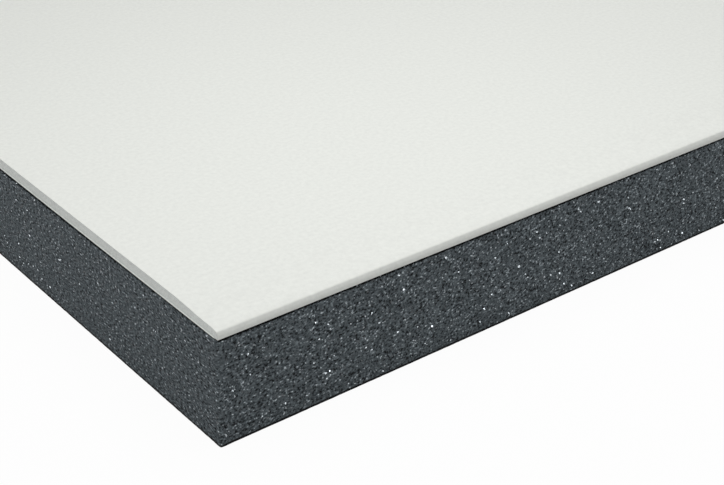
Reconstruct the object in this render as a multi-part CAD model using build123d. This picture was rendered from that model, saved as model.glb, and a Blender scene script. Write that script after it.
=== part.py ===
from build123d import *
from math import radians, tan
import os

# Insulated drywall sheet: a tapered-edge plasterboard glued on a graphite foam board, lying foam down.
# X runs along the wrapped long edges, Y across the sheet and Z up. The origin is the centre of the underside.
# All sizes are in millimetres.

# Foam board, cut square on every side
foam_length = 2500.0
foam_thickness = 120.0

# Plasterboard, over its papers
board_width = 1200.0
board_thickness = 12.5
end_setback = 2.0  # each cut end of the plasterboard stops this far inside the foam's end
edge_overhang = 1.2  # each wrapped edge passes the foam's side by this much

# Tapered and wrapped long edges
taper_width = 70.0  # from the long edge to where the face is at full height
taper_land = 28.0  # strip beside the long edge where the taper is at full depth
taper_depth = 2.4
taper_easing = 150.0  # radius where the taper meets the face and the land
shoulder_width = 10.0  # strip beside the long edge where the land falls away to it
shoulder_depth = 1.5
shoulder_easing = 35.0  # radius where the land meets the shoulder
edge_lean = 25.0  # degrees that the upper half of the wrapped edge leans in
crown_radius = 7.5  # half way up the wrapped edge, where the lean starts
nose_radius = 2.6  # face side of the wrapped edge
fold_radius = 0.8  # back side of the wrapped edge, where the paper is creased

# Papers
face_paper_thickness = 0.35
flap_width = 25.0  # the face paper turned under the core, measured from the long edge
back_paper_thickness = 0.3
back_paper_margin = 5.0  # the back paper stops this far inside the long edge, on the flap

# Glue film between the back paper and the foam
glue_thickness = 0.8
glue_margin = 12.0  # bare strip along all four edges of the plasterboard

# Sizes that follow from those above
foam_width = board_width - 2 * edge_overhang
board_length = foam_length - 2 * end_setback
board_underside = foam_thickness + glue_thickness
board_top = board_underside + board_thickness
wrap_underside = board_underside + back_paper_thickness


def slab(length, width, thickness, underside):
    """Plain rectangular sheet, centred on the origin in plan, with its underside at that height."""
    seat = Pos(0, 0, underside)
    return seat * Box(length, width, thickness, align=(Align.CENTER, Align.CENTER, Align.MIN))


def along_board(section):
    """Extrude a section drawn across the sheet over the plasterboard's whole length."""
    cut_end = Plane.YZ.offset(-board_length / 2)
    return extrude(cut_end * section, amount=board_length)


def strip_between_flaps():
    """Section of the back opening in the face paper, between the free edges of its two flaps."""
    opening = Rectangle(
        board_width - 2 * flap_width, face_paper_thickness, align=(Align.CENTER, Align.MIN)
    )
    return Pos(0, wrap_underside) * opening


def wrapped_section():
    """Section of the core in its face paper: tapered face, crowned long edges and a flat back."""
    half_width = board_width / 2
    land_height = board_top - taper_depth
    edge_height = land_height - shoulder_depth
    lean_height = (wrap_underside + edge_height) / 2
    lean_inset = (edge_height - lean_height) * tan(radians(edge_lean))
    corners = [
        (half_width, wrap_underside),
        (half_width, lean_height),
        (half_width - lean_inset, edge_height),
        (half_width - shoulder_width, land_height),
        (half_width - taper_land, land_height),
        (half_width - taper_width, board_top),
    ]
    radii = [fold_radius, crown_radius, nose_radius, shoulder_easing, taper_easing, taper_easing]
    mirrored_corners = [(-across, height) for across, height in reversed(corners)]
    outline = FilletPolyline(corners + mirrored_corners, radius=radii + radii[::-1], close=True)
    return make_face(outline)


def face_paper_section():
    """Section of the one sheet of paper that covers the face, both noses and a flap along each back edge."""
    outside = wrapped_section()
    inside = offset(outside, amount=-face_paper_thickness)
    return outside - inside - strip_between_flaps()


def foam_board():
    """Block-cut foam board with square edges."""
    return slab(foam_length, foam_width, foam_thickness, underside=0)


def glue_film():
    """Thin film of glue, held back from the edges, so that an open joint shows all round."""
    return slab(
        board_length - 2 * glue_margin,
        board_width - 2 * glue_margin,
        glue_thickness,
        underside=foam_thickness,
    )


def back_paper():
    """Liner on the back, lapped over the flaps of the face paper."""
    return slab(
        board_length, board_width - 2 * back_paper_margin, back_paper_thickness, underside=board_underside
    )


def face_paper():
    """Face paper, folded round both long edges and cut flush with the core at the ends."""
    return along_board(face_paper_section())


def gypsum_core():
    """Cast gypsum core, with a rebate under each long edge that takes the flap of the face paper."""
    return along_board(wrapped_section() - face_paper_section())


sheet_parts = {
    "foam_board": foam_board(),
    "glue_film": glue_film(),
    "back_paper": back_paper(),
    "face_paper": face_paper(),
    "gypsum_core": gypsum_core(),
}

os.makedirs("parts", exist_ok=True)
for node_name, node_shape in sheet_parts.items():
    export_step(node_shape, f"parts/{node_name}.step")
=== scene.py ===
"""Insulated drywall sheet: a tapered-edge plasterboard glued on a graphite foam board, lying foam down."""
import math

import bmesh
import bpy
from bpy.props import FloatProperty, FloatVectorProperty, IntProperty, PointerProperty
from mathutils import Matrix, Vector


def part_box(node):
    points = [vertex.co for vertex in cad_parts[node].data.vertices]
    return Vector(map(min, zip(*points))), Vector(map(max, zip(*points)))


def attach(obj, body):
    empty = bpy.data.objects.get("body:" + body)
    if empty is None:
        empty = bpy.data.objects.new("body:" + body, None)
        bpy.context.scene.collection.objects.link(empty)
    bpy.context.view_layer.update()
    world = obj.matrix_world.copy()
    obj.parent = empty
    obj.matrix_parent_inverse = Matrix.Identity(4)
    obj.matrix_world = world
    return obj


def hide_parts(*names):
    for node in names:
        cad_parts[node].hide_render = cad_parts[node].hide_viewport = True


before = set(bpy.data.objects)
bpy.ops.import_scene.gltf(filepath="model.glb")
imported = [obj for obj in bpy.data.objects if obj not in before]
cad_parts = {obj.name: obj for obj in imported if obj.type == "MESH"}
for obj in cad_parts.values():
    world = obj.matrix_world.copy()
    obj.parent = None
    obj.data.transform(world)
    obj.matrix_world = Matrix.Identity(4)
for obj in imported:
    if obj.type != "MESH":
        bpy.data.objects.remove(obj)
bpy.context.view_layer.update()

bl_info = {
    "name": "Insulated Drywall Sheet",
    "version": (1, 0, 0),
    "blender": (4, 5, 0),
    "location": "3D View > Sidebar > Drywall",
    "description": "Surfaces and cut edges of a plasterboard laminated to graphite foam",
    "category": "Add Mesh",
}

FOAM_LOW, FOAM_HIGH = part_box("foam_board")
PAPER_LOW, PAPER_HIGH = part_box("face_paper")
BACK_LOW, BACK_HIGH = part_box("back_paper")

PHOTO_WIDTH = 724  # pixels
SENSOR_WIDTH = 36.0  # mm
SHARP_ANGLE = math.radians(35)  # an edge that turns more than this is shaded as an edge
WELD_DISTANCE = 1e-6  # metres, under which two corners of a CAD mesh are one
GLINT_LIFT = 1.2  # how far glints lean up to the light, beside their face's own direction of length 1
# glints also get the pale colour of the painted highlight
GLINT_TONE = 0.998  # least tone of a glint, so that all of them mirror the light


def linear(hex_colour):
    """The linear red, green, blue and alpha of an sRGB hex value."""
    shares = [int(hex_colour[start : start + 2], 16) / 255 for start in (1, 3, 5)]
    return tuple(c / 12.92 if c <= 0.04045 else ((c + 0.055) / 1.055) ** 2.4 for c in shares) + (1.0,)


def length_property(name, default, description):
    """A size in metres, with its limits left open."""
    return FloatProperty(
        name=name, default=default, description=description, min=0.0, precision=5, unit="LENGTH"
    )


def density_property(name, default, description):
    """A number of small pieces per square metre."""
    return FloatProperty(name=name, default=default, description=description, min=0.0)


def colour_property(name, hex_colour, description):
    """A colour, given as an sRGB hex value."""
    return FloatVectorProperty(
        name=name,
        description=description,
        size=4,
        min=0.0,
        max=1.0,
        subtype="COLOR",
        default=linear(hex_colour),
    )


class DrywallSizes(bpy.types.PropertyGroup):
    """Sizes of the surfaces that the CAD solids leave plain."""

    bead_size: length_property("Bead", 0.0046, "Width of a foam bead where the cut goes through it")
    cell_size: length_property("Torn cell", 0.0025, "Distance between the torn cells that show in the cut")
    relief: length_property("Relief", 0.0004, "Depth of the beads' relief on the foam's cut faces")
    foam_spacing: length_property("Mesh spacing", 0.0034, "Distance between the foam mesh's points")
    arris_wear: length_property("Arris wear", 0.0021, "Radius worn on the foam's upper and upright edges")
    foot_wear: length_property("Foot wear", 0.0003, "Radius worn on the foam's lower edges")
    # painted contact shadow: a thin dark line along the foam's foot, where it meets the floor
    foot_shade_line: length_property("Foot line", 0.0030, "Height of the dark line along the foam's foot")
    # the next five sizes shape a band of painted shadow below the foam's top arris, for the shade in the
    # joint under the board's overhang
    joint_shade_depth: length_property("Skin", 0.0022, "From the foam's top down to the end of its dark skin")
    joint_shade_solid: length_property("Solid skin", 0.0014, "From the foam's top down to where the skin fades")
    joint_shade_loss: length_property("Skin loss", 0.0010, "How much narrower the skin is on the cut ends")
    joint_shade_corner_loss: length_property("Skin corner loss", 0.0024, "The same at the corners of the ends")
    joint_shade_even: length_property("Even skin", 0.36, "From an end's middle to where its skin narrows")
    flake_size: length_property("Flake", 0.0028, "Width of the cell walls that stand up from the cut")
    flake_height: length_property("Flake height", 0.0012, "How far a cell wall stands out of the cut")
    flake_density: density_property("Flakes", 32000.0, "Such cell walls per square metre")
    glint_size: length_property("Glint", 0.0040, "Width of the few cell walls that lean up and shine")
    glint_height: length_property("Glint height", 0.0009, "How far the middle of such a cell wall is domed")
    glint_density: density_property("Glints", 950.0, "Cell walls per square metre that shine")
    grain_size: length_property("Grain", 0.0009, "Width of the loose gypsum grains on the cut ends")
    grain_height: length_property("Grain height", 0.0006, "How far a gypsum grain stands out of the cut")
    grain_density: density_property("Grains", 200000.0, "Gypsum grains per square metre of the cut ends")
    grain_cluster: length_property("Grain cluster", 0.006, "Distance between clusters of gypsum grains")
    lip_width: length_property("Paper lip", 0.0011, "How far the torn lip stands out of a cut end")
    lip_lift: length_property("Lip lift", 0.00095, "How far the torn lip rises on its way out")
    lip_rise: length_property("Lip rise", 0.0003, "How far the torn lip rises on its way back in")
    lip_spacing: length_property("Lip spacing", 0.0009, "Distance between two teeth of the torn lip")
    taper_width: length_property("Taper", 0.070, "From the long edge to where the face is at full height")
    taper_land: length_property("Taper land", 0.028, "Strip beside the long edge at the taper's full depth")
    taper_depth: length_property("Taper depth", 0.0024, "How far the long edge lies below the face")
    taper_easing: length_property("Taper easing", 0.150, "Radius where the taper meets face and land")
    shoulder_width: length_property("Shoulder", 0.010, "Strip beside the long edge that falls away")
    shoulder_depth: length_property("Shoulder depth", 0.0015, "How far the land falls to the long edge")
    shoulder_easing: length_property("Shoulder easing", 0.035, "Radius where the land meets the shoulder")
    edge_lean: FloatProperty(
        name="Edge lean",
        default=math.radians(25),
        description="How far the upper half of the wrapped edge leans in",
        subtype="ANGLE",
    )
    crown_radius: length_property("Crown radius", 0.0075, "Radius where the wrapped edge starts to lean")
    nose_radius: length_property("Nose radius", 0.0026, "Radius on the face side of the wrapped edge")
    fold_radius: length_property("Fold radius", 0.0008, "Radius on the back side of the wrapped edge")
    back_paper_thickness: length_property("Back paper", 0.0003, "Thickness of the back paper")
    flap_width: length_property("Flap", 0.025, "Face paper turned under the core")
    paper_thickness: length_property("Face paper", 0.00035, "Thickness of the face paper")
    seed: IntProperty(name="Seed", default=7, description="Chooses the random grains, flakes and teeth")


class DrywallColours(bpy.types.PropertyGroup):
    """Colours of the materials."""

    # painted shade: near black for the pits, as if in shadow, and for the painted shadows at the joint and
    # the foot
    foam_pit_shade: colour_property("Foam, pits", "#06080A", "Open pits between the foam's beads")
    foam_dark: colour_property("Foam, torn cells", "#454C50", "Shaded cells in the foam's cut face")
    foam_body: colour_property("Foam, cut cells", "#666E72", "Smooth cut cells in the foam's face")
    # painted highlight: raised cells lighter for the light that they would catch
    foam_raised_highlight: colour_property("Foam, raised cells", "#8A949A", "Cells that the wire left raised")
    # painted highlight: pale cell walls, on the ramp's top and on the flakes, standing for glints
    foam_flake_highlight: colour_property("Foam, cell walls", "#EAF2F8", "Cell walls that catch the light")
    face_paper: colour_property("Face paper", "#E8EAE5", "Calendered paper on the room side")
    # in part a painted highlight: near white, so that the torn lip shows as a light line
    back_paper: colour_property("Back paper", "#EFF4F0", "Liner on the back, seen at its cut edge")
    gypsum: colour_property("Gypsum", "#F6F9F5", "Cast gypsum at the cut ends")
    glue: colour_property("Glue", "#B9AE8C", "Glue film between the back paper and the foam")
    floor: colour_property("Floor", "#E6E6E6", "Plain studio floor")


# Tools that every piece uses


def add_node(tree, kind, settings=None, inputs=None):
    """Add one node, with its settings, and with each input linked to a socket or given a value."""
    node = tree.nodes.new(kind)
    for name, value in (settings or {}).items():
        setattr(node, name, value)
    for socket, value in (inputs or {}).items():
        if isinstance(value, bpy.types.NodeSocket):
            tree.links.new(value, node.inputs[socket])
        else:
            node.inputs[socket].default_value = value
    return node


def new_shape_tree(name, inputs):
    """An empty Geometry Nodes tree with those named inputs, and its two end nodes."""
    tree = bpy.data.node_groups.new(name, "GeometryNodeTree")
    tree.is_modifier = True
    tree.interface.new_socket("Geometry", in_out="INPUT", socket_type="NodeSocketGeometry")
    tree.interface.new_socket("Geometry", in_out="OUTPUT", socket_type="NodeSocketGeometry")
    for label, kind in inputs.items():
        tree.interface.new_socket(label, in_out="INPUT", socket_type="NodeSocket" + kind)
    entry = tree.nodes.new("NodeGroupInput").outputs
    return tree, entry, tree.nodes.new("NodeGroupOutput")


def finish_shape_tree(tree, geometry, material, exit_node):
    """End a tree with real faces that wear the material."""
    real = add_node(tree, "GeometryNodeRealizeInstances", inputs={"Geometry": geometry})
    dressed = add_node(
        tree, "GeometryNodeSetMaterial", inputs={"Geometry": real.outputs[0], "Material": material}
    )
    tree.links.new(dressed.outputs[0], exit_node.inputs[0])


def new_piece(name, mesh, slot, *replaced):
    """Link a mesh as a piece of the sheet, on its one body."""
    piece = bpy.data.objects.new(name, mesh)
    mesh.name = name
    bpy.context.scene.collection.objects.link(piece)
    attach(piece, "root")
    if replaced:
        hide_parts(*replaced)
    return piece


def grown_mesh(base, tree, values, wall=0.0, keep_even=True):
    """The plain mesh that a tree makes from a base mesh, with a wall thickness if it is given.

    keep_even holds the thickness at corners, which pushes the tip of a sharp fold out.
    """
    maker = bpy.data.objects.new("maker", base)
    bpy.context.scene.collection.objects.link(maker)
    growth = maker.modifiers.new("growth", "NODES")
    growth.node_group = tree
    for item in tree.interface.items_tree:
        if item.in_out == "INPUT" and item.name in values:
            growth[item.identifier] = values[item.name]
    if wall:
        thickness = maker.modifiers.new("wall", "SOLIDIFY")
        thickness.thickness = wall
        thickness.offset = -1.0
        thickness.use_even_offset = keep_even
    shape = maker.evaluated_get(bpy.context.evaluated_depsgraph_get())
    mesh = bpy.data.meshes.new_from_object(shape)
    maker.modifiers.clear()
    bpy.data.objects.remove(maker)
    mesh.materials.clear()
    mesh.materials.append(values["Material"])
    mesh.set_sharp_from_angle(angle=SHARP_ANGLE)
    if not mesh.polygons:
        raise RuntimeError(f"the tree {tree.name} made no faces")
    return mesh


def new_material(name):
    """A material with one surface shader, its tree and its object coordinates."""
    material = bpy.data.materials.new(name)
    material.use_nodes = True
    tree = material.node_tree
    surface = tree.nodes["Principled BSDF"]
    place = add_node(tree, "ShaderNodeTexCoord").outputs["Object"]
    return material, tree, surface, place


# Materials


def noise_shade(tree, place, noise, spread, shades):
    """A number that drifts with noise: the spread of its values becomes the shades, clipped there."""
    drift = add_node(tree, "ShaderNodeTexNoise", inputs={"Vector": place, **noise})
    limits = dict(zip(("From Min", "From Max", "To Min", "To Max"), spread + shades))
    limits["Value"] = drift.outputs["Fac"]
    return add_node(tree, "ShaderNodeMapRange", inputs=limits).outputs["Result"]


def paint_surface(tree, surface, colour, shade, bump=None):
    """Give a surface a colour times a shade, and a bump if its height, strength and distance are given."""
    tone = add_node(
        tree, "ShaderNodeVectorMath", {"operation": "SCALE"}, {"Vector": colour, "Scale": shade}
    )
    tree.links.new(tone.outputs["Vector"], surface.inputs["Base Color"])
    if bump:
        raised = add_node(tree, "ShaderNodeBump", inputs=bump)
        tree.links.new(raised.outputs["Normal"], surface.inputs["Normal"])


def on_end_faces(tree, along):
    """1 on the foam's two cut ends and 0 on its long sides, from the place along the sheet."""
    fade_start, fade_end = 0.004, 0.001  # metres short of the foam's end
    from_middle = add_node(tree, "ShaderNodeMath", {"operation": "ABSOLUTE"}, {0: along})
    ends = add_node(
        tree,
        "ShaderNodeMapRange",
        inputs={
            "Value": from_middle.outputs[0],
            "From Min": FOAM_HIGH.x - fade_start,
            "From Max": FOAM_HIGH.x - fade_end,
        },
    )
    return ends.outputs["Result"]


def packed_beads(tree, place, sizes):
    """Each bead's own shade, and how strongly its cells are torn, which is most along its rim."""
    waves, wander = 0.8, 0.6  # noise that moves the beads: waves to a bead, and reach in beads
    drift = add_node(
        tree, "ShaderNodeTexNoise", inputs={"Vector": place, "Scale": waves / sizes.bead_size, "Detail": 1.0}
    )
    shift = add_node(
        tree,
        "ShaderNodeVectorMath",
        {"operation": "MULTIPLY_ADD"},
        {0: drift.outputs["Color"], 1: (wander * sizes.bead_size,) * 3, 2: place},
    )
    packed = {"Vector": shift.outputs["Vector"], "Scale": 1 / sizes.bead_size}
    beads = add_node(tree, "ShaderNodeTexVoronoi", inputs=packed)
    seams = add_node(tree, "ShaderNodeTexVoronoi", {"feature": "DISTANCE_TO_EDGE"}, packed)
    tearing = add_node(
        tree,
        "ShaderNodeMapRange",
        {"interpolation_type": "SMOOTHSTEP"},
        {
            "Value": seams.outputs["Distance"],
            "From Min": 0.05,
            "From Max": 0.3,
            "To Min": 0.78,
            "To Max": 0.39,
        },
    )
    bead_value = add_node(tree, "ShaderNodeSeparateColor", inputs={"Color": beads.outputs["Color"]})
    bead_shade = add_node(
        tree,
        "ShaderNodeMapRange",
        inputs={"Value": bead_value.outputs["Red"], "To Min": 0.93, "To Max": 1.07},
    )
    return bead_shade.outputs["Result"], tearing.outputs["Result"]


def level_at_rims(tree, parts, at_end, sizes):
    """The middle level of the cells: even over the faces, lowered for painted shadow at the top and along
    the foot.

    The painted shadow at the top, which stands for the shade in the joint under the board's overhang, is
    narrower on the ends and runs out towards their corners.
    """
    # levels below the ramp's darkest stop: painted shadow under the board's overhang, and a darker painted
    # contact shadow at the foot
    even_level, joint_shade_level, foot_shade_level = 0.5, -0.1, -0.3
    solid_foot_shade = 0.8  # share of the foot line's height that is fully dark
    from_centre = add_node(tree, "ShaderNodeMath", {"operation": "ABSOLUTE"}, {0: parts["Y"]})
    joint_shade_loss = add_node(
        tree,
        "ShaderNodeMapRange",
        inputs={
            "Value": from_centre.outputs[0],
            "From Min": sizes.joint_shade_even,
            "From Max": FOAM_HIGH.y,
            "To Min": -sizes.joint_shade_loss,
            "To Max": -sizes.joint_shade_corner_loss,
        },
    )
    joint_shade_height = add_node(
        tree,
        "ShaderNodeMath",
        {"operation": "MULTIPLY_ADD"},
        {0: at_end, 1: joint_shade_loss.outputs["Result"], 2: parts["Z"]},
    )
    foot = add_node(
        tree,
        "ShaderNodeMapRange",
        inputs={
            "Value": parts["Z"],
            "From Min": solid_foot_shade * sizes.foot_shade_line,
            "From Max": sizes.foot_shade_line,
            "To Min": foot_shade_level,
            "To Max": even_level,
        },
    )
    painted_shade = add_node(
        tree,
        "ShaderNodeMapRange",
        inputs={
            "Value": joint_shade_height.outputs[0],
            "From Min": FOAM_HIGH.z - sizes.joint_shade_depth,
            "From Max": FOAM_HIGH.z - sizes.joint_shade_solid,
            "To Min": foot.outputs["Result"],
            "To Max": joint_shade_level,
        },
    )
    return painted_shade.outputs["Result"]


def cut_graphite_foam(sizes, colours):
    """Expanded polystyrene with graphite, cut from a block: beads of cells, torn open by the wire.

    The graphite makes it a dull blue grey, each bead a slightly different tone. Cells tear open mostly along
    the rims of the beads, as dark pits of painted shade beside light walls of painted highlight, and stay
    smoother inside them. They are drawn about ten times as wide as real cells, so that they show, and longer
    on the ends. Below the top arris a band of painted shadow stands for the shade in the joint under the
    board's overhang, and along the foot runs a thin line of painted contact shadow.
    """
    material, tree, surface, place = new_material("graphite_polystyrene_cut")
    parts = add_node(tree, "ShaderNodeSeparateXYZ", inputs={0: place}).outputs
    at_end = on_end_faces(tree, parts["X"])
    bead_shade, tearing = packed_beads(tree, place, sizes)
    end_gain = 0.04  # how much more strongly the cells are torn on the ends
    gain = add_node(
        tree, "ShaderNodeMath", {"operation": "MULTIPLY_ADD"}, {0: at_end, 1: end_gain, 2: 1.0}
    )
    swing = add_node(tree, "ShaderNodeMath", {"operation": "MULTIPLY"}, {0: tearing, 1: gain.outputs[0]})
    squeeze = (0.97, 0.62, 1.2)  # the cells are longer along an axis where this is under 1
    squeezed = add_node(tree, "ShaderNodeVectorMath", {"operation": "MULTIPLY"}, {0: place, 1: squeeze})
    cells = add_node(
        tree,
        "ShaderNodeTexNoise",
        {"normalize": False},
        {"Vector": squeezed.outputs[0], "Scale": 1 / sizes.cell_size, "Detail": 1.0, "Roughness": 0.5},
    )
    level = add_node(
        tree,
        "ShaderNodeMath",
        {"operation": "MULTIPLY_ADD"},
        {0: cells.outputs["Fac"], 1: swing.outputs[0], 2: level_at_rims(tree, parts, at_end, sizes)},
    )
    grain = add_node(tree, "ShaderNodeValToRGB", inputs={"Fac": level.outputs[0]})
    # the darkest stop is painted shade for pits, joint and foot; the two lightest stops are painted
    # highlights for raised cells and cell walls
    shade_stop, wall = grain.color_ramp.elements
    shade_stop.position, shade_stop.color = 0.13, colours.foam_pit_shade
    wall.position, wall.color = 1.0, colours.foam_flake_highlight
    between = ((0.28, colours.foam_dark), (0.65, colours.foam_body), (0.93, colours.foam_raised_highlight))
    for position, colour in between:
        grain.color_ramp.elements.new(position).color = colour
    bump = {"Height": level.outputs[0], "Strength": 1.0, "Distance": sizes.cell_size / 2}
    paint_surface(tree, surface, grain.outputs["Color"], bead_shade, bump)
    surface.inputs["Roughness"].default_value = 0.8
    surface.inputs["IOR"].default_value = 1.59
    surface.inputs["Specular IOR Level"].default_value = 0.1
    return material


def foam_cell_wall(colours):
    """Polystyrene cell walls, stretched thin by the cut: small flakes, the smoothest of which mirror light.

    Each flake has a tone from 0 to 1. Most are dull, those near 1 are painted pale as a highlight, and the
    very last ones glint as they mirror the light.
    """
    material, tree, surface, _ = new_material("polystyrene_cell_wall")
    tone = add_node(tree, "ShaderNodeAttribute", {"attribute_name": "tone"})
    powers = (8.0, 60.0)  # few flakes are pale, and far fewer mirror the light
    painted_highlight, mirroring = [
        add_node(tree, "ShaderNodeMath", {"operation": "POWER"}, {0: tone.outputs["Fac"], 1: power})
        for power in powers
    ]
    colour = add_node(
        tree,
        "ShaderNodeMix",
        {"data_type": "RGBA"},
        {0: painted_highlight.outputs[0], 6: colours.foam_dark, 7: colours.foam_flake_highlight},
    )
    tree.links.new(colour.outputs[2], surface.inputs["Base Color"])
    tree.links.new(mirroring.outputs[0], surface.inputs["Metallic"])
    surface.inputs["Roughness"].default_value = 0.22
    return material


def calendered_face_paper(colours):
    """Face paper of recycled fibres, pressed smooth between rollers: matt, with a faint cloudy mottle."""
    material, tree, surface, place = new_material("calendered_face_paper")
    clouds = {"Scale": 210.0, "Detail": 4.0, "Roughness": 0.62}
    shade = noise_shade(tree, place, clouds, (0.25, 0.75), (0.945, 1.055))
    fibres = add_node(
        tree,
        "ShaderNodeTexNoise",
        inputs={"Vector": place, "Scale": 1400.0, "Detail": 3.0, "Roughness": 0.7},
    )
    bump = {"Height": fibres.outputs["Fac"], "Strength": 0.15, "Distance": 0.0002}
    paint_surface(tree, surface, tuple(colours.face_paper)[:3], shade, bump)
    surface.inputs["Roughness"].default_value = 0.85
    surface.inputs["IOR"].default_value = 1.45
    return material


def cut_back_paper(colours):
    """Liner of recycled fibres, fluffy where the saw tore it, and nearly white all over: partly its own pale
    tone, partly a painted highlight on the torn lip.
    """
    material, tree, surface, place = new_material("recycled_back_paper")
    fibres = {"Scale": 900.0, "Detail": 3.0, "Roughness": 0.6}
    shade = noise_shade(tree, place, fibres, (0.3, 0.7), (0.9, 1.08))
    paint_surface(tree, surface, tuple(colours.back_paper)[:3], shade)
    surface.inputs["Roughness"].default_value = 0.9
    return material


def sawn_gypsum(colours):
    """Cast gypsum, sawn across: chalky and powdery, with air bubbles under a millimetre wide."""
    material, tree, surface, place = new_material("sawn_gypsum")
    bubbles = add_node(tree, "ShaderNodeTexVoronoi", inputs={"Vector": place, "Scale": 900.0})
    # painted shade: the bubbles' pores are darker, as hollows would be in shadow
    pore_shade = add_node(
        tree,
        "ShaderNodeMapRange",
        {"interpolation_type": "SMOOTHSTEP"},
        {
            "Value": bubbles.outputs["Distance"],
            "From Min": 0.12,
            "From Max": 0.32,
            "To Min": 0.6,
            "To Max": 1.0,
        },
    )
    powder = {"Scale": 380.0, "Detail": 3.0, "Roughness": 0.6}
    shade = noise_shade(tree, place, powder, (0.3, 0.7), (0.94, 1.07))
    both = add_node(
        tree, "ShaderNodeMath", {"operation": "MULTIPLY"}, {0: pore_shade.outputs["Result"], 1: shade}
    )
    bump = {"Height": both.outputs[0], "Strength": 1.0, "Distance": 0.0004}
    paint_surface(tree, surface, tuple(colours.gypsum)[:3], both.outputs[0], bump)
    surface.inputs["Roughness"].default_value = 0.95
    return material


def set_glue(colours):
    """Polyurethane glue, set as a thin straw-coloured film with a dull skin."""
    material, tree, surface, place = new_material("polyurethane_glue")
    runs = {"Scale": 60.0, "Detail": 2.0}
    roughness = noise_shade(tree, place, runs, (0.0, 1.0), (0.35, 0.6))
    tree.links.new(roughness, surface.inputs["Roughness"])
    surface.inputs["Base Color"].default_value = colours.glue
    return material


# Shapes that Geometry Nodes grow


def cut_block_tree():
    """Tree for a block-cut board: its outline swept up the rows, with worn rims and the beads in relief."""
    tree, entry, exit_node = new_shape_tree(
        "cut_foam_block",
        {
            **dict.fromkeys(("Length", "Width", "Height", "Wear", "Foot Wear"), "Float"),
            **dict.fromkeys(("Spacing", "Bead Size", "Relief"), "Float"),
            "Material": "Material",
        },
    )
    rectangle = add_node(
        tree,
        "GeometryNodeCurvePrimitiveQuadrilateral",
        inputs={"Width": entry["Length"], "Height": entry["Width"]},
    )
    rounded = add_node(
        tree,
        "GeometryNodeFilletCurve",
        {"mode": "POLY"},
        {"Curve": rectangle.outputs[0], "Count": 3, "Radius": entry["Wear"]},
    )
    here = add_node(tree, "GeometryNodeInputPosition").outputs[0]
    following = add_node(tree, "GeometryNodeOffsetPointInCurve", inputs={"Offset": 1})
    there = add_node(
        tree,
        "GeometryNodeFieldAtIndex",
        {"data_type": "FLOAT_VECTOR"},
        {"Value": here, "Index": following.outputs["Point Index"]},
    )
    run = add_node(tree, "ShaderNodeVectorMath", {"operation": "DISTANCE"}, {0: here, 1: there.outputs[0]})
    cuts = add_node(
        tree, "ShaderNodeMath", {"operation": "DIVIDE"}, {0: run.outputs["Value"], 1: entry["Spacing"]}
    )
    outline = add_node(
        tree, "GeometryNodeSubdivideCurve", inputs={"Curve": rounded.outputs[0], "Cuts": cuts.outputs[0]}
    )
    rows = add_node(tree, "GeometryNodeMeshToCurve", inputs={"Mesh": entry["Geometry"]})
    block = add_node(
        tree,
        "GeometryNodeCurveToMesh",
        inputs={"Curve": rows.outputs[0], "Profile Curve": outline.outputs[0], "Fill Caps": True},
    )
    normal = add_node(tree, "GeometryNodeInputNormal").outputs[0]
    level = add_node(
        tree, "ShaderNodeVectorMath", {"operation": "MULTIPLY"}, {0: normal, 1: (1.0, 1.0, 0.0)}
    )
    outward = add_node(tree, "ShaderNodeVectorMath", {"operation": "NORMALIZE"}, {0: level.outputs[0]})
    height = add_node(tree, "ShaderNodeSeparateXYZ", inputs={0: here}).outputs["Z"]
    from_top = add_node(tree, "ShaderNodeMath", {"operation": "SUBTRACT"}, {0: entry["Height"], 1: height})
    worn = add_node(
        tree,
        "ShaderNodeMath",
        {"operation": "ADD"},
        {
            0: rim_inset(tree, from_top.outputs[0], entry["Wear"]),
            1: rim_inset(tree, height, entry["Foot Wear"]),
        },
    )
    bead_count = add_node(tree, "ShaderNodeMath", {"operation": "DIVIDE"}, {0: 1.0, 1: entry["Bead Size"]})
    beads = add_node(tree, "ShaderNodeTexVoronoi", inputs={"Vector": here, "Scale": bead_count.outputs[0]})
    depth = add_node(
        tree,
        "ShaderNodeMath",
        {"operation": "MULTIPLY_ADD"},
        {0: beads.outputs["Distance"], 1: entry["Relief"], 2: worn.outputs[0]},
    )
    inward = add_node(tree, "ShaderNodeMath", {"operation": "MULTIPLY"}, {0: depth.outputs[0], 1: -1.0})
    offset = add_node(
        tree,
        "ShaderNodeVectorMath",
        {"operation": "SCALE"},
        {"Vector": outward.outputs[0], "Scale": inward.outputs[0]},
    )
    carved = add_node(
        tree, "GeometryNodeSetPosition", inputs={"Geometry": block.outputs[0], "Offset": offset.outputs[0]}
    )
    finish_shape_tree(tree, carved.outputs[0], entry["Material"], exit_node)
    return tree


def rim_inset(tree, from_rim, radius):
    """How far an arris worn to a quarter circle lies inside the face, at that distance from its rim."""
    share = add_node(
        tree,
        "ShaderNodeMapRange",
        inputs={"Value": from_rim, "From Max": radius, "To Min": 1.0, "To Max": 0.0},
    )
    square = add_node(
        tree, "ShaderNodeMath", {"operation": "POWER"}, {0: share.outputs["Result"], 1: 2.0}
    )
    rest = add_node(tree, "ShaderNodeMath", {"operation": "SUBTRACT"}, {0: 1.0, 1: square.outputs[0]})
    root = add_node(tree, "ShaderNodeMath", {"operation": "SQRT"}, {0: rest.outputs[0]})
    inset = add_node(tree, "ShaderNodeMath", {"operation": "SUBTRACT"}, {0: 1.0, 1: root.outputs[0]})
    depth = add_node(tree, "ShaderNodeMath", {"operation": "MULTIPLY"}, {0: inset.outputs[0], 1: radius})
    return depth.outputs[0]


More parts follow.
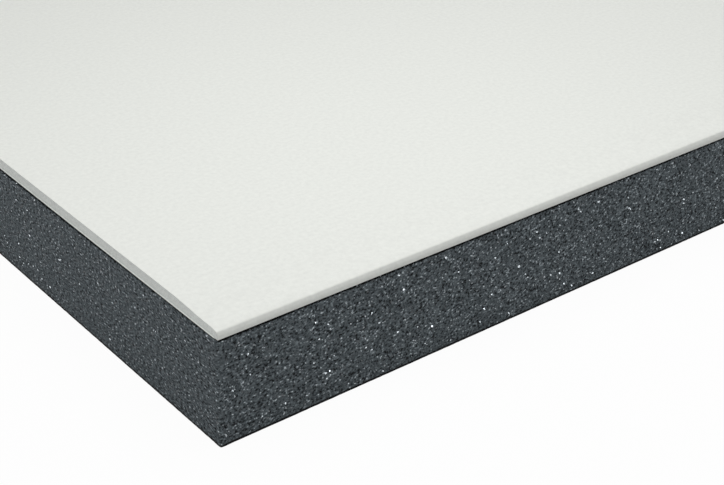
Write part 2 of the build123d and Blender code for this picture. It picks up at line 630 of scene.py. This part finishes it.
def scattered_bits_tree():
    """Tree that scatters small low bits over the faces that look along Facing, each with its own tone.

    Faces whose middle is not above From Height stay bare.
    """
    tree, entry, exit_node = new_shape_tree(
        "scattered_bits",
        {
            "Facing": "Vector",
            "From Height": "Float",
            "Density": "Float",
            "Cluster Size": "Float",
            "Bit Size": "Float",
            "Bit Height": "Float",
            "Tilt": "Float",
            "Lift": "Float",
            "Least Tone": "Float",
            "Lowest": "Vector",
            "Highest": "Vector",
            "Seed": "Int",
            "Material": "Material",
        },
    )
    normal = add_node(tree, "GeometryNodeInputNormal").outputs[0]
    size_of_normal = add_node(tree, "ShaderNodeVectorMath", {"operation": "ABSOLUTE"}, {0: normal})
    facing = add_node(
        tree,
        "ShaderNodeVectorMath",
        {"operation": "DOT_PRODUCT"},
        {0: size_of_normal.outputs[0], 1: entry["Facing"]},
    )
    turned_enough = 0.5
    turned_there = add_node(
        tree,
        "FunctionNodeCompare",
        {"operation": "GREATER_THAN"},
        {0: facing.outputs["Value"], 1: turned_enough},
    )
    here = add_node(tree, "GeometryNodeInputPosition").outputs[0]
    height = add_node(tree, "ShaderNodeSeparateXYZ", inputs={0: here}).outputs["Z"]
    high_enough = add_node(
        tree, "FunctionNodeCompare", {"operation": "GREATER_THAN"}, {0: height, 1: entry["From Height"]}
    )
    chosen = add_node(
        tree,
        "FunctionNodeBooleanMath",
        {"operation": "AND"},
        {0: turned_there.outputs[0], 1: high_enough.outputs[0]},
    )
    frequency = add_node(
        tree, "ShaderNodeMath", {"operation": "DIVIDE"}, {0: 1.0, 1: entry["Cluster Size"]}
    )
    clusters = add_node(tree, "ShaderNodeTexNoise", inputs={"Scale": frequency.outputs[0], "Detail": 1.0})
    sparse_share = 0.45  # of the density that is left between the clusters
    share = add_node(
        tree,
        "ShaderNodeMapRange",
        inputs={
            "Value": clusters.outputs["Fac"],
            "From Min": 0.38,
            "From Max": 0.62,
            "To Min": sparse_share,
            "To Max": 1.0,
        },
    )
    density = add_node(
        tree, "ShaderNodeMath", {"operation": "MULTIPLY"}, {0: share.outputs["Result"], 1: entry["Density"]}
    )
    spots = add_node(
        tree,
        "GeometryNodeDistributePointsOnFaces",
        inputs={
            "Mesh": entry["Geometry"],
            "Selection": chosen.outputs[0],
            "Density": density.outputs[0],
            "Seed": entry["Seed"],
        },
    )
    low_tilt = add_node(tree, "ShaderNodeMath", {"operation": "MULTIPLY"}, {0: entry["Tilt"], 1: -1.0})
    least, most = [
        add_node(tree, "ShaderNodeCombineXYZ", inputs={"X": tilt, "Y": tilt, "Z": half_turn})
        for tilt, half_turn in ((low_tilt.outputs[0], -math.pi), (entry["Tilt"], math.pi))
    ]
    turn = add_node(
        tree,
        "FunctionNodeRandomValue",
        {"data_type": "FLOAT_VECTOR"},
        {0: least.outputs[0], 1: most.outputs[0], "Seed": entry["Seed"]},
    )
    upward = add_node(tree, "ShaderNodeCombineXYZ", inputs={"Z": entry["Lift"]})
    raised = add_node(
        tree,
        "ShaderNodeVectorMath",
        {"operation": "ADD"},
        {0: spots.outputs["Normal"], 1: upward.outputs[0]},
    )
    stand = add_node(
        tree, "FunctionNodeAlignRotationToVector", {"axis": "Z"}, {"Vector": raised.outputs[0]}
    )
    lean = add_node(
        tree,
        "FunctionNodeRotateRotation",
        {"rotation_space": "LOCAL"},
        {"Rotation": stand.outputs[0], "Rotate By": turn.outputs[0]},
    )
    smallest, largest = (0.4, 0.3, 0.6), (1.3, 0.9, 1.2)  # times a bit's length, width and height
    stretch = add_node(
        tree,
        "FunctionNodeRandomValue",
        {"data_type": "FLOAT_VECTOR"},
        {0: smallest, 1: largest, "Seed": entry["Seed"]},
    )
    half_size = add_node(
        tree, "ShaderNodeMath", {"operation": "MULTIPLY"}, {0: entry["Bit Size"], 1: 0.5}
    )
    bit = add_node(
        tree,
        "GeometryNodeMeshCone",
        inputs={
            "Vertices": 4,
            "Radius Top": 0.0,
            "Radius Bottom": half_size.outputs[0],
            "Depth": entry["Bit Height"],
        },
    )
    flat_bit = add_node(
        tree,
        "GeometryNodeSetShadeSmooth",
        inputs={"Geometry": bit.outputs["Mesh"], "Shade Smooth": False},
    )
    bits = add_node(
        tree,
        "GeometryNodeInstanceOnPoints",
        inputs={
            "Points": spots.outputs["Points"],
            "Instance": flat_bit.outputs[0],
            "Rotation": lean.outputs[0],
            "Scale": stretch.outputs[0],
        },
    )
    tone = add_node(
        tree,
        "FunctionNodeRandomValue",
        {"data_type": "FLOAT"},
        {2: entry["Least Tone"], 3: 1.0, "Seed": entry["Seed"]},
    )
    toned = add_node(
        tree,
        "GeometryNodeStoreNamedAttribute",
        {"data_type": "FLOAT", "domain": "INSTANCE"},
        {"Geometry": bits.outputs[0], "Name": "tone", "Value": tone.outputs[1]},
    )
    loose = add_node(tree, "GeometryNodeRealizeInstances", inputs={"Geometry": toned.outputs[0]})
    above = add_node(tree, "ShaderNodeVectorMath", {"operation": "MAXIMUM"}, {0: here, 1: entry["Lowest"]})
    within = add_node(
        tree, "ShaderNodeVectorMath", {"operation": "MINIMUM"}, {0: above.outputs[0], 1: entry["Highest"]}
    )
    trimmed = add_node(
        tree,
        "GeometryNodeSetPosition",
        inputs={"Geometry": loose.outputs[0], "Position": within.outputs[0]},
    )
    finish_shape_tree(tree, trimmed.outputs[0], entry["Material"], exit_node)
    return tree


def wrapped_paper_tree():
    """Tree that rounds the corners of a paper's path and draws it out along the sheet."""
    tree, entry, exit_node = new_shape_tree(
        "wrapped_paper", {"Length": "Float", "Corner Points": "Int", "Material": "Material"}
    )
    path = add_node(tree, "GeometryNodeMeshToCurve", inputs={"Mesh": entry["Geometry"]})
    radius = add_node(
        tree, "GeometryNodeInputNamedAttribute", {"data_type": "FLOAT"}, {"Name": "corner_radius"}
    )
    rounded = add_node(
        tree,
        "GeometryNodeFilletCurve",
        {"mode": "POLY"},
        {"Curve": path.outputs[0], "Count": entry["Corner Points"], "Radius": radius.outputs[0]},
    )
    edge = add_node(tree, "GeometryNodeCurveToMesh", inputs={"Curve": rounded.outputs[0]})
    along = add_node(tree, "ShaderNodeCombineXYZ", inputs={"X": entry["Length"]})
    drawn = add_node(
        tree,
        "GeometryNodeExtrudeMesh",
        {"mode": "EDGES"},
        {"Mesh": edge.outputs[0], "Offset": along.outputs[0]},
    )
    smooth = add_node(tree, "GeometryNodeSetShadeSmooth", inputs={"Geometry": drawn.outputs["Mesh"]})
    finish_shape_tree(tree, smooth.outputs[0], entry["Material"], exit_node)
    return tree


def torn_lip_tree():
    """Tree for the lip that a saw tears out of a paper: out and up, then back in with ragged teeth."""
    tree, entry, exit_node = new_shape_tree(
        "torn_lip",
        {
            **dict.fromkeys(("Spacing", "Width", "Lift", "Rise"), "Float"),
            "Seed": "Int",
            "Material": "Material",
        },
    )
    path = add_node(tree, "GeometryNodeMeshToCurve", inputs={"Mesh": entry["Geometry"]})
    teeth = add_node(
        tree,
        "GeometryNodeResampleCurve",
        {"mode": "LENGTH"},
        {"Curve": path.outputs[0], "Length": entry["Spacing"]},
    )
    edge = add_node(tree, "GeometryNodeCurveToMesh", inputs={"Curve": teeth.outputs[0]})
    here = add_node(tree, "GeometryNodeInputPosition").outputs[0]
    parts = add_node(tree, "ShaderNodeSeparateXYZ", inputs={0: here})
    side = add_node(tree, "ShaderNodeMath", {"operation": "SIGN"}, {0: parts.outputs["X"]})
    across = add_node(
        tree, "ShaderNodeMath", {"operation": "MULTIPLY"}, {0: side.outputs[0], 1: entry["Width"]}
    )
    outward = add_node(tree, "ShaderNodeCombineXYZ", inputs={"X": across.outputs[0], "Z": entry["Lift"]})
    drawn = add_node(
        tree,
        "GeometryNodeExtrudeMesh",
        {"mode": "EDGES"},
        {"Mesh": edge.outputs[0], "Offset": outward.outputs[0]},
    )
    inward = add_node(tree, "ShaderNodeMath", {"operation": "MULTIPLY"}, {0: across.outputs[0], 1: -1.0})
    slope = add_node(tree, "ShaderNodeCombineXYZ", inputs={"X": inward.outputs[0], "Z": entry["Rise"]})
    turned = add_node(
        tree,
        "GeometryNodeExtrudeMesh",
        {"mode": "EDGES"},
        {"Mesh": drawn.outputs["Mesh"], "Selection": drawn.outputs["Top"], "Offset": slope.outputs[0]},
    )
    shortest, longest = -0.2, 0.15  # of the way back in, added to a tooth
    share = add_node(
        tree,
        "FunctionNodeRandomValue",
        {"data_type": "FLOAT"},
        {2: shortest, 3: longest, "Seed": entry["Seed"]},
    )
    tear = add_node(
        tree,
        "ShaderNodeVectorMath",
        {"operation": "SCALE"},
        {"Vector": slope.outputs[0], "Scale": share.outputs[1]},
    )
    torn = add_node(
        tree,
        "GeometryNodeSetPosition",
        inputs={
            "Geometry": turned.outputs["Mesh"],
            "Selection": turned.outputs["Top"],
            "Offset": tear.outputs[0],
        },
    )
    finish_shape_tree(tree, torn.outputs[0], entry["Material"], exit_node)
    return tree


def foam_rows(height, sizes):
    """Levels of the foam mesh's rows: close on the worn rims, one at the top of the painted foot shadow,
    even above it.
    """
    turns = (0, 30, 60, 90)  # degrees round a worn rim
    rim = [1 - math.cos(math.radians(turn)) for turn in turns]
    foot = [sizes.foot_wear * share for share in rim] + [sizes.foot_shade_line]
    top = [height - sizes.arris_wear * share for share in reversed(rim)]
    gap = top[0] - foot[-1]
    steps = round(gap / sizes.foam_spacing)
    between = [foot[-1] + gap * step / steps for step in range(1, steps)]
    return foot + between + top


def edges_mesh(name, chains):
    """A mesh of edges only, one open chain of points after another."""
    points = [point for chain in chains for point in chain]
    edges = []
    start = 0
    for chain in chains:
        edges += [(start + step, start + step + 1) for step in range(len(chain) - 1)]
        start += len(chain)
    mesh = bpy.data.meshes.new(name)
    mesh.from_pydata(points, edges, [])
    return mesh


def welded_copy(node):
    """A copy of a CAD node's mesh, with its loose triangles joined."""
    shape = bmesh.new()
    shape.from_mesh(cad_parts[node].data)
    bmesh.ops.remove_doubles(shape, verts=shape.verts, dist=WELD_DISTANCE)
    mesh = bpy.data.meshes.new(node + "_welded")
    shape.to_mesh(mesh)
    shape.free()
    return mesh


# One operator for each piece


class DRYWALL_OT_foam_board(bpy.types.Operator):
    """Grow the block-cut foam board, with the relief of its beads on the four cut faces"""

    bl_idname = "drywall.foam_board"
    bl_label = "Foam Board"

    def execute(self, context):
        sizes, colours = context.scene.drywall_sizes, context.scene.drywall_colours
        length, width, height = FOAM_HIGH - FOAM_LOW
        mesh = grown_mesh(
            edges_mesh("foam_rows", [[(0, 0, level) for level in foam_rows(height, sizes)]]),
            cut_block_tree(),
            {
                "Length": length,
                "Width": width,
                "Height": height,
                "Wear": sizes.arris_wear,
                "Foot Wear": sizes.foot_wear,
                "Spacing": sizes.foam_spacing,
                "Bead Size": sizes.bead_size,
                "Relief": sizes.relief,
                "Material": cut_graphite_foam(sizes, colours),
            },
        )
        new_piece("cut_foam_board", mesh, "foam_board", "foam_board")
        return {"FINISHED"}


class DRYWALL_OT_foam_flakes(bpy.types.Operator):
    """Scatter the cell walls that stand up from the foam's cut faces, and the few that glint"""

    bl_idname = "drywall.foam_flakes"
    bl_label = "Foam Flakes"

    def execute(self, context):
        sizes, colours = context.scene.drywall_sizes, context.scene.drywall_colours
        kinds = {
            "foam_cell_walls": {
                "Density": sizes.flake_density,
                "Bit Size": sizes.flake_size,
                "Bit Height": sizes.flake_height,
                "Lift": 0.0,
                "Least Tone": 0.0,
                "Seed": sizes.seed,
            },
            "foam_glints": {
                "Density": sizes.glint_density,
                "Bit Size": sizes.glint_size,
                "Bit Height": sizes.glint_height,
                "Lift": GLINT_LIFT,
                "Least Tone": GLINT_TONE,
                "Seed": sizes.seed + 10,
            },
        }
        shared = {
            "Facing": (1.0, 1.0, 0.0),
            "From Height": sizes.foot_shade_line,
            "Cluster Size": 3 * sizes.bead_size,
            "Tilt": math.radians(25),
            "Lowest": (FOAM_LOW.x, PAPER_LOW.y, 0.0),
            "Highest": (FOAM_HIGH.x, PAPER_HIGH.y, FOAM_HIGH.z),
            "Material": foam_cell_wall(colours),
        }
        board, tree = bpy.data.objects["cut_foam_board"].data, scattered_bits_tree()
        for name, own in kinds.items():
            mesh = grown_mesh(board, tree, {**shared, **own})
            new_piece(name, mesh, "foam_board")
        return {"FINISHED"}


class DRYWALL_OT_face_paper(bpy.types.Operator):
    """Fold the face paper over the face, round both long edges and under the core"""

    bl_idname = "drywall.face_paper"
    bl_label = "Face Paper"

    def execute(self, context):
        sizes, colours = context.scene.drywall_sizes, context.scene.drywall_colours
        front = PAPER_LOW.y
        bottom, top = PAPER_LOW.z, PAPER_HIGH.z
        land = top - sizes.taper_depth
        edge = land - sizes.shoulder_depth
        middle = (bottom + edge) / 2
        lean = (edge - middle) * math.tan(sizes.edge_lean)
        half_path = [
            ((front + sizes.flap_width, bottom), 0.0),
            ((front, bottom), sizes.fold_radius),
            ((front, middle), sizes.crown_radius),
            ((front + lean, edge), sizes.nose_radius),
            ((front + sizes.shoulder_width, land), sizes.shoulder_easing),
            ((front + sizes.taper_land, land), sizes.taper_easing),
            ((front + sizes.taper_width, top), sizes.taper_easing),
        ]
        path = half_path + [((-across, height), radius) for (across, height), radius in reversed(half_path)]
        base = edges_mesh("paper_path", [[(PAPER_LOW.x, across, height) for (across, height), _ in path]])
        radii = base.attributes.new("corner_radius", "FLOAT", "POINT")
        radii.data.foreach_set("value", [radius for _, radius in path])
        mesh = grown_mesh(
            base,
            wrapped_paper_tree(),
            {
                "Length": PAPER_HIGH.x - PAPER_LOW.x,
                "Corner Points": 10,
                "Material": calendered_face_paper(colours),
            },
            wall=sizes.paper_thickness,
        )
        new_piece("wrapped_face_paper", mesh, "face_paper", "face_paper")
        return {"FINISHED"}


class DRYWALL_OT_board_core(bpy.types.Operator):
    """Give the gypsum core, the back paper and the glue film their finishes"""

    bl_idname = "drywall.board_core"
    bl_label = "Core, Back Paper and Glue"

    def execute(self, context):
        colours = context.scene.drywall_colours
        finishes = {
            "gypsum_core": sawn_gypsum(colours),
            "back_paper": cut_back_paper(colours),
            "glue_film": set_glue(colours),
        }
        for node, finish in finishes.items():
            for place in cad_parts[node].material_slots:
                place.material = finish
        return {"FINISHED"}


class DRYWALL_OT_gypsum_grains(bpy.types.Operator):
    """Scatter the grains that the saw leaves on the core's cut ends"""

    bl_idname = "drywall.gypsum_grains"
    bl_label = "Gypsum Grains"

    def execute(self, context):
        sizes = context.scene.drywall_sizes
        mesh = grown_mesh(
            welded_copy("gypsum_core"),
            scattered_bits_tree(),
            {
                "Facing": (1.0, 0.0, 0.0),
                "From Height": 0.0,
                "Density": sizes.grain_density,
                "Cluster Size": sizes.grain_cluster,
                "Bit Size": sizes.grain_size,
                "Bit Height": sizes.grain_height,
                "Tilt": math.radians(20),
                "Lift": 0.0,
                "Least Tone": 0.0,
                "Lowest": (FOAM_LOW.x, PAPER_LOW.y, BACK_LOW.z),
                "Highest": (FOAM_HIGH.x, PAPER_HIGH.y, PAPER_HIGH.z - sizes.taper_depth),
                "Seed": sizes.seed + 1,
                "Material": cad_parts["gypsum_core"].material_slots[0].material,
            },
        )
        new_piece("gypsum_grains", mesh, "gypsum_core")
        return {"FINISHED"}


class DRYWALL_OT_paper_lip(bpy.types.Operator):
    """Tear the lip that the saw leaves along the back paper at both cut ends"""

    bl_idname = "drywall.paper_lip"
    bl_label = "Torn Paper Lip"

    def execute(self, context):
        sizes = context.scene.drywall_sizes
        level = BACK_HIGH.z
        chains = [
            [(BACK_LOW.x, BACK_HIGH.y, level), (BACK_LOW.x, BACK_LOW.y, level)],
            [(BACK_HIGH.x, BACK_LOW.y, level), (BACK_HIGH.x, BACK_HIGH.y, level)],
        ]
        mesh = grown_mesh(
            edges_mesh("cut_edges", chains),
            torn_lip_tree(),
            {
                "Spacing": sizes.lip_spacing,
                "Width": sizes.lip_width,
                "Lift": sizes.lip_lift,
                "Rise": sizes.lip_rise,
                "Seed": sizes.seed + 2,
                "Material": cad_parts["back_paper"].material_slots[0].material,
            },
            wall=sizes.back_paper_thickness,
            keep_even=False,
        )
        new_piece("torn_paper_lip", mesh, "back_paper")
        return {"FINISHED"}


class DRYWALL_OT_stage(bpy.types.Operator):
    """Lay the pale floor, hang the soft lamps and set up the camera"""

    bl_idname = "drywall.stage"
    bl_label = "Stage"

    def execute(self, context):
        scene = context.scene
        lay_floor(scene.drywall_colours)
        light_world()
        hang_lamps()
        place_camera()
        scene.view_settings.view_transform = "Standard"
        return {"FINISHED"}


# Floor, lamps and camera


def seen_directly(tree):
    """1 for a ray from the camera, a mirror or glass, and 0 for one that only carries light."""
    ray = add_node(tree, "ShaderNodeLightPath").outputs
    first = add_node(
        tree, "ShaderNodeMath", {"operation": "MAXIMUM"}, {0: ray["Is Camera Ray"], 1: ray["Is Glossy Ray"]}
    )
    return add_node(
        tree,
        "ShaderNodeMath",
        {"operation": "MAXIMUM"},
        {0: first.outputs[0], 1: ray["Is Transmission Ray"]},
    ).outputs[0]


def lay_floor(colours):
    """Wide floor that looks nearly white and keeps a soft shadow."""
    half = 60.0  # metres from the middle to each side
    white_share = 0.96  # of what is seen of the floor is plain white, and the rest keeps the shadow
    mesh = bpy.data.meshes.new("studio_floor")
    corners = [(-half, -half, 0), (half, -half, 0), (half, half, 0), (-half, half, 0)]
    mesh.from_pydata(corners, [], [(0, 1, 2, 3)])
    floor = bpy.data.objects.new("studio_floor", mesh)
    bpy.context.scene.collection.objects.link(floor)
    material, tree, surface, _ = new_material("matt_white_floor")
    surface.inputs["Base Color"].default_value = colours.floor
    surface.inputs["Roughness"].default_value = 1.0
    surface.inputs["Specular IOR Level"].default_value = 0.0
    white = add_node(tree, "ShaderNodeEmission", inputs={"Strength": 1.0})
    fill = add_node(
        tree, "ShaderNodeMath", {"operation": "MULTIPLY"}, {0: seen_directly(tree), 1: white_share}
    )
    blend = add_node(
        tree,
        "ShaderNodeMixShader",
        inputs={"Fac": fill.outputs[0], 1: surface.outputs[0], 2: white.outputs[0]},
    )
    tree.links.new(blend.outputs[0], tree.nodes["Material Output"].inputs["Surface"])
    mesh.materials.append(material)


def light_world():
    """Even fill light, with a white background where it is seen."""
    lighting, seen = 0.15, 0.98  # strengths
    world = bpy.data.worlds.new("studio_world")
    bpy.context.scene.world = world
    world.use_nodes = True
    tree = world.node_tree
    level = add_node(
        tree,
        "ShaderNodeMapRange",
        inputs={"Value": seen_directly(tree), "To Min": lighting, "To Max": seen},
    )
    background = tree.nodes["Background"]
    background.inputs["Color"].default_value = (1.0, 1.0, 1.0, 1.0)
    tree.links.new(level.outputs["Result"], background.inputs["Strength"])


def hang_lamps():
    """A wide even light from above, and a softbox over each half of the sheet."""
    sky = bpy.data.lights.new("overhead_sky", "SUN")
    sky.angle = math.radians(80)
    sky.energy = 1.66
    sky_stand = bpy.data.objects.new("overhead_sky", sky)
    bpy.context.scene.collection.objects.link(sky_stand)
    softbox = bpy.data.lights.new("softbox", "AREA")
    softbox.shape = "RECTANGLE"
    softbox.size, softbox.size_y = 0.8, 0.8
    softbox.energy = 3.6
    along, across, up = 0.95, 0.5, 1.15  # metres from the middle of the sheet's underside
    for name, side in (("near_softbox", -1), ("far_softbox", 1)):
        stand = bpy.data.objects.new(name, softbox)
        stand.location = (along * side, across * side, up)
        stand.visible_camera = False
        bpy.context.scene.collection.objects.link(stand)


def place_camera():
    """Stand where the photograph was taken, level but for a slight roll."""
    foot_corner = Vector((FOAM_LOW.x, FOAM_LOW.y, 0.0))
    from_corner = Vector((-0.6086, -0.9902, 0.8843))
    heading, drop, roll = math.radians(38.11), math.radians(29.74), math.radians(0.30)
    focal_pixels = 1526.7
    camera = bpy.data.cameras.new("camera")
    camera.sensor_width = SENSOR_WIDTH
    camera.lens = SENSOR_WIDTH * focal_pixels / PHOTO_WIDTH
    stand = bpy.data.objects.new("camera", camera)
    forward = Vector(
        (math.sin(heading) * math.cos(drop), math.cos(heading) * math.cos(drop), -math.sin(drop))
    )
    aim = forward.to_track_quat("-Z", "Y").to_matrix().to_4x4() @ Matrix.Rotation(roll, 4, "Z")
    stand.matrix_world = Matrix.Translation(foot_corner + from_corner) @ aim
    bpy.context.scene.collection.objects.link(stand)
    bpy.context.scene.camera = stand


# Panel and start of the add-on


class DRYWALL_PT_sheet(bpy.types.Panel):
    """Sizes, colours and one button for each piece of the sheet"""

    bl_idname = "DRYWALL_PT_sheet"
    bl_label = "Insulated Drywall Sheet"
    bl_space_type = "VIEW_3D"
    bl_region_type = "UI"
    bl_category = "Drywall"

    def draw(self, context):
        layout = self.layout
        for operator in OPERATORS:
            layout.operator(operator.bl_idname)
        for group in (context.scene.drywall_sizes, context.scene.drywall_colours):
            for name in group.bl_rna.properties.keys():
                if name not in ("rna_type", "name"):
                    layout.prop(group, name)


OPERATORS = (
    DRYWALL_OT_foam_board,
    DRYWALL_OT_foam_flakes,
    DRYWALL_OT_face_paper,
    DRYWALL_OT_board_core,
    DRYWALL_OT_gypsum_grains,
    DRYWALL_OT_paper_lip,
    DRYWALL_OT_stage,
)
CLASSES = (DrywallSizes, DrywallColours, *OPERATORS, DRYWALL_PT_sheet)


def register():
    for item in CLASSES:
        bpy.utils.register_class(item)
    bpy.types.Scene.drywall_sizes = PointerProperty(type=DrywallSizes)
    bpy.types.Scene.drywall_colours = PointerProperty(type=DrywallColours)


def unregister():
    del bpy.types.Scene.drywall_colours
    del bpy.types.Scene.drywall_sizes
    for item in reversed(CLASSES):
        bpy.utils.unregister_class(item)


def main():
    """Make every piece and the stage."""
    register()
    bpy.ops.drywall.foam_board()
    bpy.ops.drywall.foam_flakes()
    bpy.ops.drywall.face_paper()
    bpy.ops.drywall.board_core()
    bpy.ops.drywall.gypsum_grains()
    bpy.ops.drywall.paper_lip()
    bpy.ops.drywall.stage()


if __name__ == "__main__":
    main()
